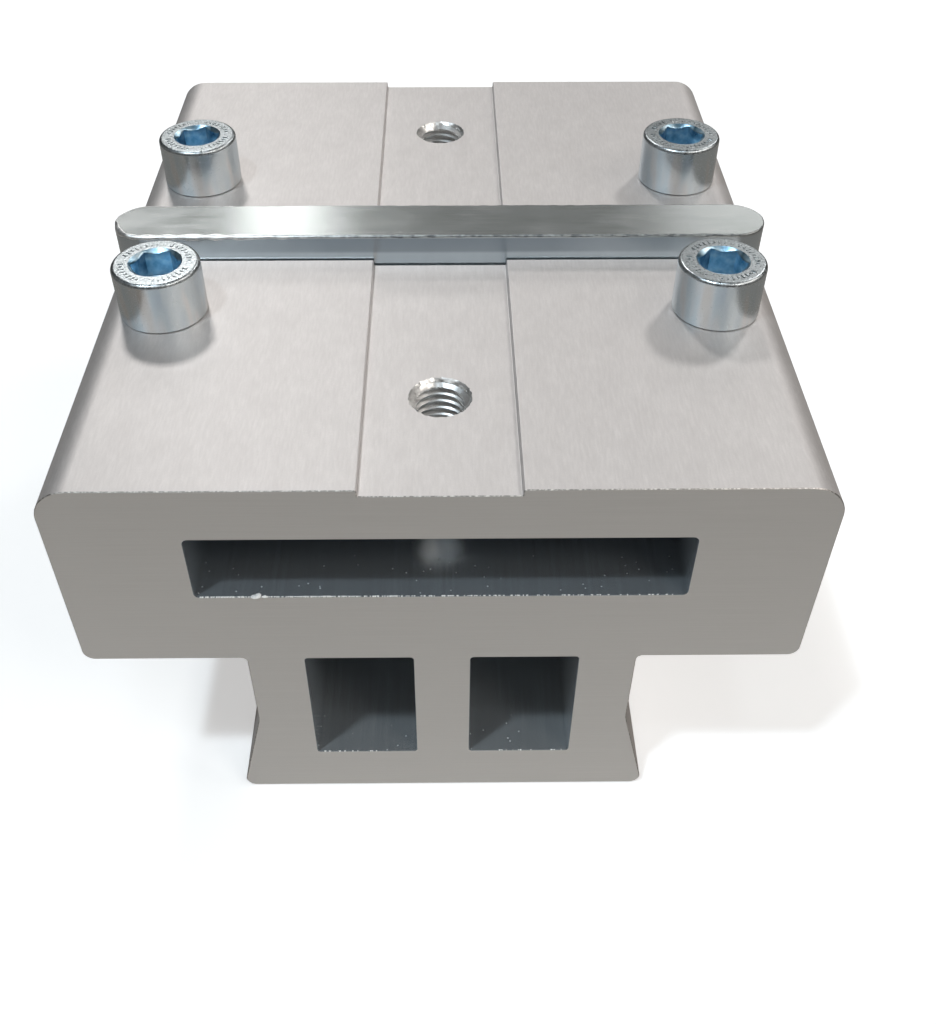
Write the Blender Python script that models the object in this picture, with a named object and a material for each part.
"""Beam coupling: an extruded aluminium T block with a cross key and four M10 cap screws.

The block's head carries the ends of two beams, one before and one behind the cross key.
Frame: metres, +Z up, +Y along the extrusion, -Y is the front.
The origin is under the middle of the block, on the plane that its foot stands on.
"""

import math

import bmesh
import bpy

MM = 0.001

# Driving dimensions, in millimetres.
BLOCK_LENGTH = 150.0
HEAD_WIDTH = 128.0
HEAD_HEIGHT = 40.5
NECK_WIDTH = 70.0
NECK_HEIGHT = 40.5
FOOT_WIDTH = 81.0
FLARE_HEIGHT = 22.0
TOP_CORNER_RADIUS = 6.0
LEDGE_CORNER_RADIUS = 2.0
FOOT_CORNER_RADIUS = 2.0
NECK_FILLET_RADIUS = 1.2
FLARE_BLEND_RADIUS = 6.0

CHANNEL_WIDTH = 26.0
CHANNEL_DEPTH = 1.25

CHAMBER_WIDTH = 83.6
CHAMBER_HEIGHT = 13.7
CHAMBER_ROOF = 10.6
CHAMBER_CORNER_RADIUS = 1.0

CELL_WIDTH = 19.6
CELL_HEIGHT = 29.0
CELL_FLOOR = 11.4
CELL_WEB = 10.2
CELL_CORNER_RADIUS = 0.7

KEY_LENGTH = 128.0
KEY_WIDTH = 12.0
KEY_HEIGHT = 8.0
KEY_CHAMFER = 0.5
KEY_STANDS_PROUD = 5.0
KEY_OFFSET = -1.5
KEY_SIDE_CLEARANCE = 0.8

THREAD_DIAMETER = 10.0
THREAD_CORE_DIAMETER = 8.5
HOLE_MOUTH_DIAMETER = 10.8
TAPPED_HOLE_SPACING = 100.0

SCREW_SPACING_X = 102.0
SCREW_SPACING_Y = 50.0
SCREW_LENGTH = 30.0
SCREW_HOLE_DEPTH = 35.0
SCREW_HEAD_DIAMETER = 16.0
SCREW_HEAD_HEIGHT = 10.0
SCREW_HEAD_CHAMFER = 0.8
SCREW_TIP_CHAMFER = 1.2
SOCKET_ACROSS_FLATS = 8.0
SOCKET_DEPTH = 5.4
SOCKET_MOUTH_CHAMFER = 0.4
DRILL_POINT_ANGLE = 118.0

# Meshes keep this gap where the real pieces touch.
CONTACT_GAP = 0.3
# A cutter reaches this far past the faces that it opens.
CUT_MARGIN = 5.0

ROUND_SEGMENTS = 36
ARC_STEP = math.radians(12.0)
SMOOTH_ANGLE = math.radians(32.0)

# Worked out from the driving dimensions.
BLOCK_TOP = NECK_HEIGHT + HEAD_HEIGHT
KEY_BOTTOM = BLOCK_TOP + KEY_STANDS_PROUD - KEY_HEIGHT
SHANK_RADIUS = THREAD_DIAMETER / 2 - CONTACT_GAP


def clear_scene():
    for old in list(bpy.data.objects):
        bpy.data.objects.remove(old, do_unlink=True)


def make_material(name, colour, roughness, metallic):
    """A Principled BSDF material with one base colour."""
    material = bpy.data.materials.new(name)
    material.use_nodes = True
    shader = material.node_tree.nodes["Principled BSDF"]
    shader.inputs["Base Color"].default_value = (*colour, 1.0)
    shader.inputs["Roughness"].default_value = roughness
    shader.inputs["Metallic"].default_value = metallic
    return material


def corner_arc(before, corner, after):
    """Points that round one outline corner (x, z, radius) between its two neighbours."""
    x, z, radius = corner
    if radius == 0:
        return [(x, z)]
    into = math.atan2(before[1] - z, before[0] - x)
    out = math.atan2(after[1] - z, after[0] - x)
    opening = (out - into + math.pi) % (2 * math.pi) - math.pi
    middle = into + opening / 2
    reach = radius / math.sin(abs(opening) / 2)
    centre_x = x + reach * math.cos(middle)
    centre_z = z + reach * math.sin(middle)
    sweep = math.copysign(math.pi - abs(opening), -opening)
    steps = max(2, round(abs(sweep) / ARC_STEP))
    start = middle + math.pi - sweep / 2
    angles = [start + sweep * step / steps for step in range(steps + 1)]
    return [(centre_x + radius * math.cos(a), centre_z + radius * math.sin(a)) for a in angles]


def rounded_outline(corners):
    """Closed outline through (x, z, radius) corners, with each corner rounded."""
    points = []
    for index, corner in enumerate(corners):
        before = corners[index - 1]
        after = corners[(index + 1) % len(corners)]
        points.extend(corner_arc(before, corner, after))
    return points


def rectangle(x_middle, z_low, width, height, radius):
    """Corners of a rectangle that stands on z_low, for rounded_outline."""
    left = x_middle - width / 2
    right = x_middle + width / 2
    top = z_low + height
    return [(left, z_low, radius), (right, z_low, radius), (right, top, radius), (left, top, radius)]


def link_mesh(name, mesh_builder, location=(0.0, 0.0, 0.0)):
    """Turn a bmesh into a named object in the scene."""
    bmesh.ops.recalc_face_normals(mesh_builder, faces=mesh_builder.faces)
    mesh = bpy.data.meshes.new(name)
    mesh_builder.to_mesh(mesh)
    mesh_builder.free()
    mesh.shade_smooth()
    mesh.set_sharp_from_angle(angle=SMOOTH_ANGLE)
    return link_object(name, mesh, location)


def link_object(name, mesh, location):
    """Place a mesh, new or shared, at a location given in millimetres."""
    item = bpy.data.objects.new(name, mesh)
    item.location = [MM * value for value in location]
    bpy.context.collection.objects.link(item)
    return item


def prism(name, outline, length, y_middle=0.0):
    """Extrude an (x, z) outline along Y, centred on y_middle."""
    builder = bmesh.new()
    ring = [builder.verts.new((MM * x, -MM * length / 2, MM * z)) for x, z in outline]
    face = builder.faces.new(ring)
    swept = bmesh.ops.extrude_face_region(builder, geom=[face])["geom"]
    moved = [item for item in swept if isinstance(item, bmesh.types.BMVert)]
    bmesh.ops.translate(builder, verts=moved, vec=(0.0, MM * length, 0.0))
    return link_mesh(name, builder, (0.0, y_middle, 0.0))


def round_ring(radius):
    """Points of a circle."""
    step = 2 * math.pi / ROUND_SEGMENTS
    return [(radius * math.cos(step * i), radius * math.sin(step * i)) for i in range(ROUND_SEGMENTS)]


def hexagon_ring(across_flats):
    """Points of a hexagon, at the same angles as round_ring's."""
    points = []
    for index in range(ROUND_SEGMENTS):
        angle = 2 * math.pi * index / ROUND_SEGMENTS
        from_flat = angle % (math.pi / 3) - math.pi / 6
        radius = across_flats / 2 / math.cos(from_flat)
        points.append((radius * math.cos(angle), radius * math.sin(angle)))
    return points


def slot_ring(length, width):
    """Points of a straight slot shape with full-radius ends, long in X."""
    half = ROUND_SEGMENTS // 2
    points = []
    for side in (1, -1):
        for index in range(half + 1):
            angle = -math.pi / 2 + math.pi * index / half
            x = (length - width) / 2 + width / 2 * math.cos(angle)
            points.append((side * x, side * width / 2 * math.sin(angle)))
    return points


def ring_stack(name, rings, location=(0.0, 0.0, 0.0)):
    """Join (points, z) rings of equal size into one closed body with flat ends."""
    builder = bmesh.new()
    loops = []
    for points, z in rings:
        loops.append([builder.verts.new((MM * x, MM * y, MM * z)) for x, y in points])
    for lower, upper in zip(loops, loops[1:]):
        for index in range(len(lower)):
            builder.faces.new((lower[index - 1], lower[index], upper[index], upper[index - 1]))
    builder.faces.new(loops[0])
    builder.faces.new(loops[-1])
    return link_mesh(name, builder, location)


def cut(target, cutter):
    """Take a cutter away from the target, and keep the cutter out of the model."""
    cutter.hide_render = True
    cutter.display_type = "WIRE"
    cutter.hide_viewport = True
    modifier = target.modifiers.new(cutter.name, "BOOLEAN")
    modifier.operation = "DIFFERENCE"
    modifier.solver = "EXACT"
    modifier.object = cutter


def block_outline():
    """The extrusion's outer section, right half from the foot up, then its mirror image."""
    right = [
        (FOOT_WIDTH / 2, 0.0, FOOT_CORNER_RADIUS),
        (NECK_WIDTH / 2, FLARE_HEIGHT, FLARE_BLEND_RADIUS),
        (NECK_WIDTH / 2, NECK_HEIGHT, NECK_FILLET_RADIUS),
        (HEAD_WIDTH / 2, NECK_HEIGHT, LEDGE_CORNER_RADIUS),
        (HEAD_WIDTH / 2, BLOCK_TOP, TOP_CORNER_RADIUS),
        (CHANNEL_WIDTH / 2, BLOCK_TOP, 0.0),
        (CHANNEL_WIDTH / 2, BLOCK_TOP - CHANNEL_DEPTH, 0.0),
    ]
    left = [(-x, z, radius) for x, z, radius in reversed(right)]
    return rounded_outline(right + left)


def chamber_cutter():
    """The wide flat chamber through the head."""
    z_low = BLOCK_TOP - CHAMBER_ROOF - CHAMBER_HEIGHT
    corners = rectangle(0.0, z_low, CHAMBER_WIDTH, CHAMBER_HEIGHT, CHAMBER_CORNER_RADIUS)
    return prism("chamber_cutter", rounded_outline(corners), BLOCK_LENGTH + 2 * CUT_MARGIN)


def cell_cutter(side):
    """One of the two square cells through the neck; side is -1 for left, 1 for right."""
    middle = side * (CELL_WEB + CELL_WIDTH) / 2
    corners = rectangle(middle, CELL_FLOOR, CELL_WIDTH, CELL_HEIGHT, CELL_CORNER_RADIUS)
    return prism("cell_cutter", rounded_outline(corners), BLOCK_LENGTH + 2 * CUT_MARGIN)


def key_slot_cutter():
    """The milled slot across the head that the key lies in."""
    width = KEY_WIDTH + 2 * KEY_SIDE_CLEARANCE
    floor = KEY_BOTTOM - CONTACT_GAP
    corners = rectangle(0.0, floor, HEAD_WIDTH + 2 * CUT_MARGIN, KEY_HEIGHT, 0.0)
    return prism("key_slot_cutter", [(x, z) for x, z, _ in corners], width, KEY_OFFSET)


def tapped_hole_cutter(side):
    """A hole from the channel floor into the chamber, chamfered at its mouth."""
    floor = BLOCK_TOP - CHANNEL_DEPTH
    mouth_radius = HOLE_MOUTH_DIAMETER / 2
    core_radius = THREAD_CORE_DIAMETER / 2
    rings = [
        (round_ring(core_radius), BLOCK_TOP - CHAMBER_ROOF - CUT_MARGIN),
        (round_ring(core_radius), floor - (mouth_radius - core_radius)),
        (round_ring(mouth_radius), floor),
        (round_ring(mouth_radius), floor + CUT_MARGIN),
    ]
    return ring_stack("tapped_hole_cutter", rings, (0.0, side * TAPPED_HOLE_SPACING / 2, 0.0))


def screw_hole_cutter(x, y):
    """A blind hole for one cap screw, with a chamfered mouth and a drilled point."""
    radius = THREAD_DIAMETER / 2
    mouth_radius = HOLE_MOUTH_DIAMETER / 2
    tip_radius = 0.5
    point = (radius - tip_radius) / math.tan(math.radians(DRILL_POINT_ANGLE / 2))
    rings = [
        (round_ring(tip_radius), BLOCK_TOP - SCREW_HOLE_DEPTH - point),
        (round_ring(radius), BLOCK_TOP - SCREW_HOLE_DEPTH),
        (round_ring(radius), BLOCK_TOP - (mouth_radius - radius)),
        (round_ring(mouth_radius), BLOCK_TOP),
        (round_ring(mouth_radius), BLOCK_TOP + CUT_MARGIN),
    ]
    return ring_stack("screw_hole_cutter", rings, (x, y, 0.0))


def screw_places():
    """Name and (x, y) of each cap screw."""
    for row, y in (("front", -SCREW_SPACING_Y / 2), ("rear", SCREW_SPACING_Y / 2)):
        for side, x in (("left", -SCREW_SPACING_X / 2), ("right", SCREW_SPACING_X / 2)):
            yield f"cap_screw_{row}_{side}", x, y


def make_block():
    block = prism("coupling_block", block_outline(), BLOCK_LENGTH)
    block.data.materials.append(make_material("anodised_aluminium", (0.62, 0.61, 0.59), 0.38, 1.0))
    cut(block, chamber_cutter())
    cut(block, key_slot_cutter())
    for side in (-1, 1):
        cut(block, cell_cutter(side))
        cut(block, tapped_hole_cutter(side))
    for _, x, y in screw_places():
        cut(block, screw_hole_cutter(x, y))


def make_key():
    """The parallel key with round ends that lies across the block."""
    inset = 2 * KEY_CHAMFER
    full = slot_ring(KEY_LENGTH, KEY_WIDTH)
    inner = slot_ring(KEY_LENGTH - inset, KEY_WIDTH - inset)
    rings = [
        (inner, 0.0),
        (full, KEY_CHAMFER),
        (full, KEY_HEIGHT - KEY_CHAMFER),
        (inner, KEY_HEIGHT),
    ]
    key = ring_stack("cross_key", rings, (0.0, KEY_OFFSET, KEY_BOTTOM))
    key.data.materials.append(make_material("zinc_plated_key_steel", (0.55, 0.58, 0.57), 0.28, 1.0))


def make_screws():
    """Four M10 socket head cap screws; each origin is on its axis, under its head."""
    head_radius = SCREW_HEAD_DIAMETER / 2
    mouth = SOCKET_ACROSS_FLATS + 2 * SOCKET_MOUTH_CHAMFER
    rings = [
        (round_ring(SHANK_RADIUS - SCREW_TIP_CHAMFER), -SCREW_LENGTH),
        (round_ring(SHANK_RADIUS), SCREW_TIP_CHAMFER - SCREW_LENGTH),
        (round_ring(SHANK_RADIUS), 0.0),
        (round_ring(head_radius), 0.0),
        (round_ring(head_radius), SCREW_HEAD_HEIGHT - SCREW_HEAD_CHAMFER),
        (round_ring(head_radius - SCREW_HEAD_CHAMFER), SCREW_HEAD_HEIGHT),
        (hexagon_ring(mouth), SCREW_HEAD_HEIGHT),
        (hexagon_ring(SOCKET_ACROSS_FLATS), SCREW_HEAD_HEIGHT - SOCKET_MOUTH_CHAMFER),
        (hexagon_ring(SOCKET_ACROSS_FLATS), SCREW_HEAD_HEIGHT - SOCKET_DEPTH),
    ]
    seat = BLOCK_TOP + CONTACT_GAP
    mesh = None
    for name, x, y in screw_places():
        if mesh is None:
            mesh = ring_stack(name, rings, (x, y, seat)).data
            mesh.materials.append(make_material("zinc_plated_screw_steel", (0.60, 0.64, 0.66), 0.22, 1.0))
        else:
            link_object(name, mesh, (x, y, seat))


clear_scene()
make_block()
make_key()
make_screws()
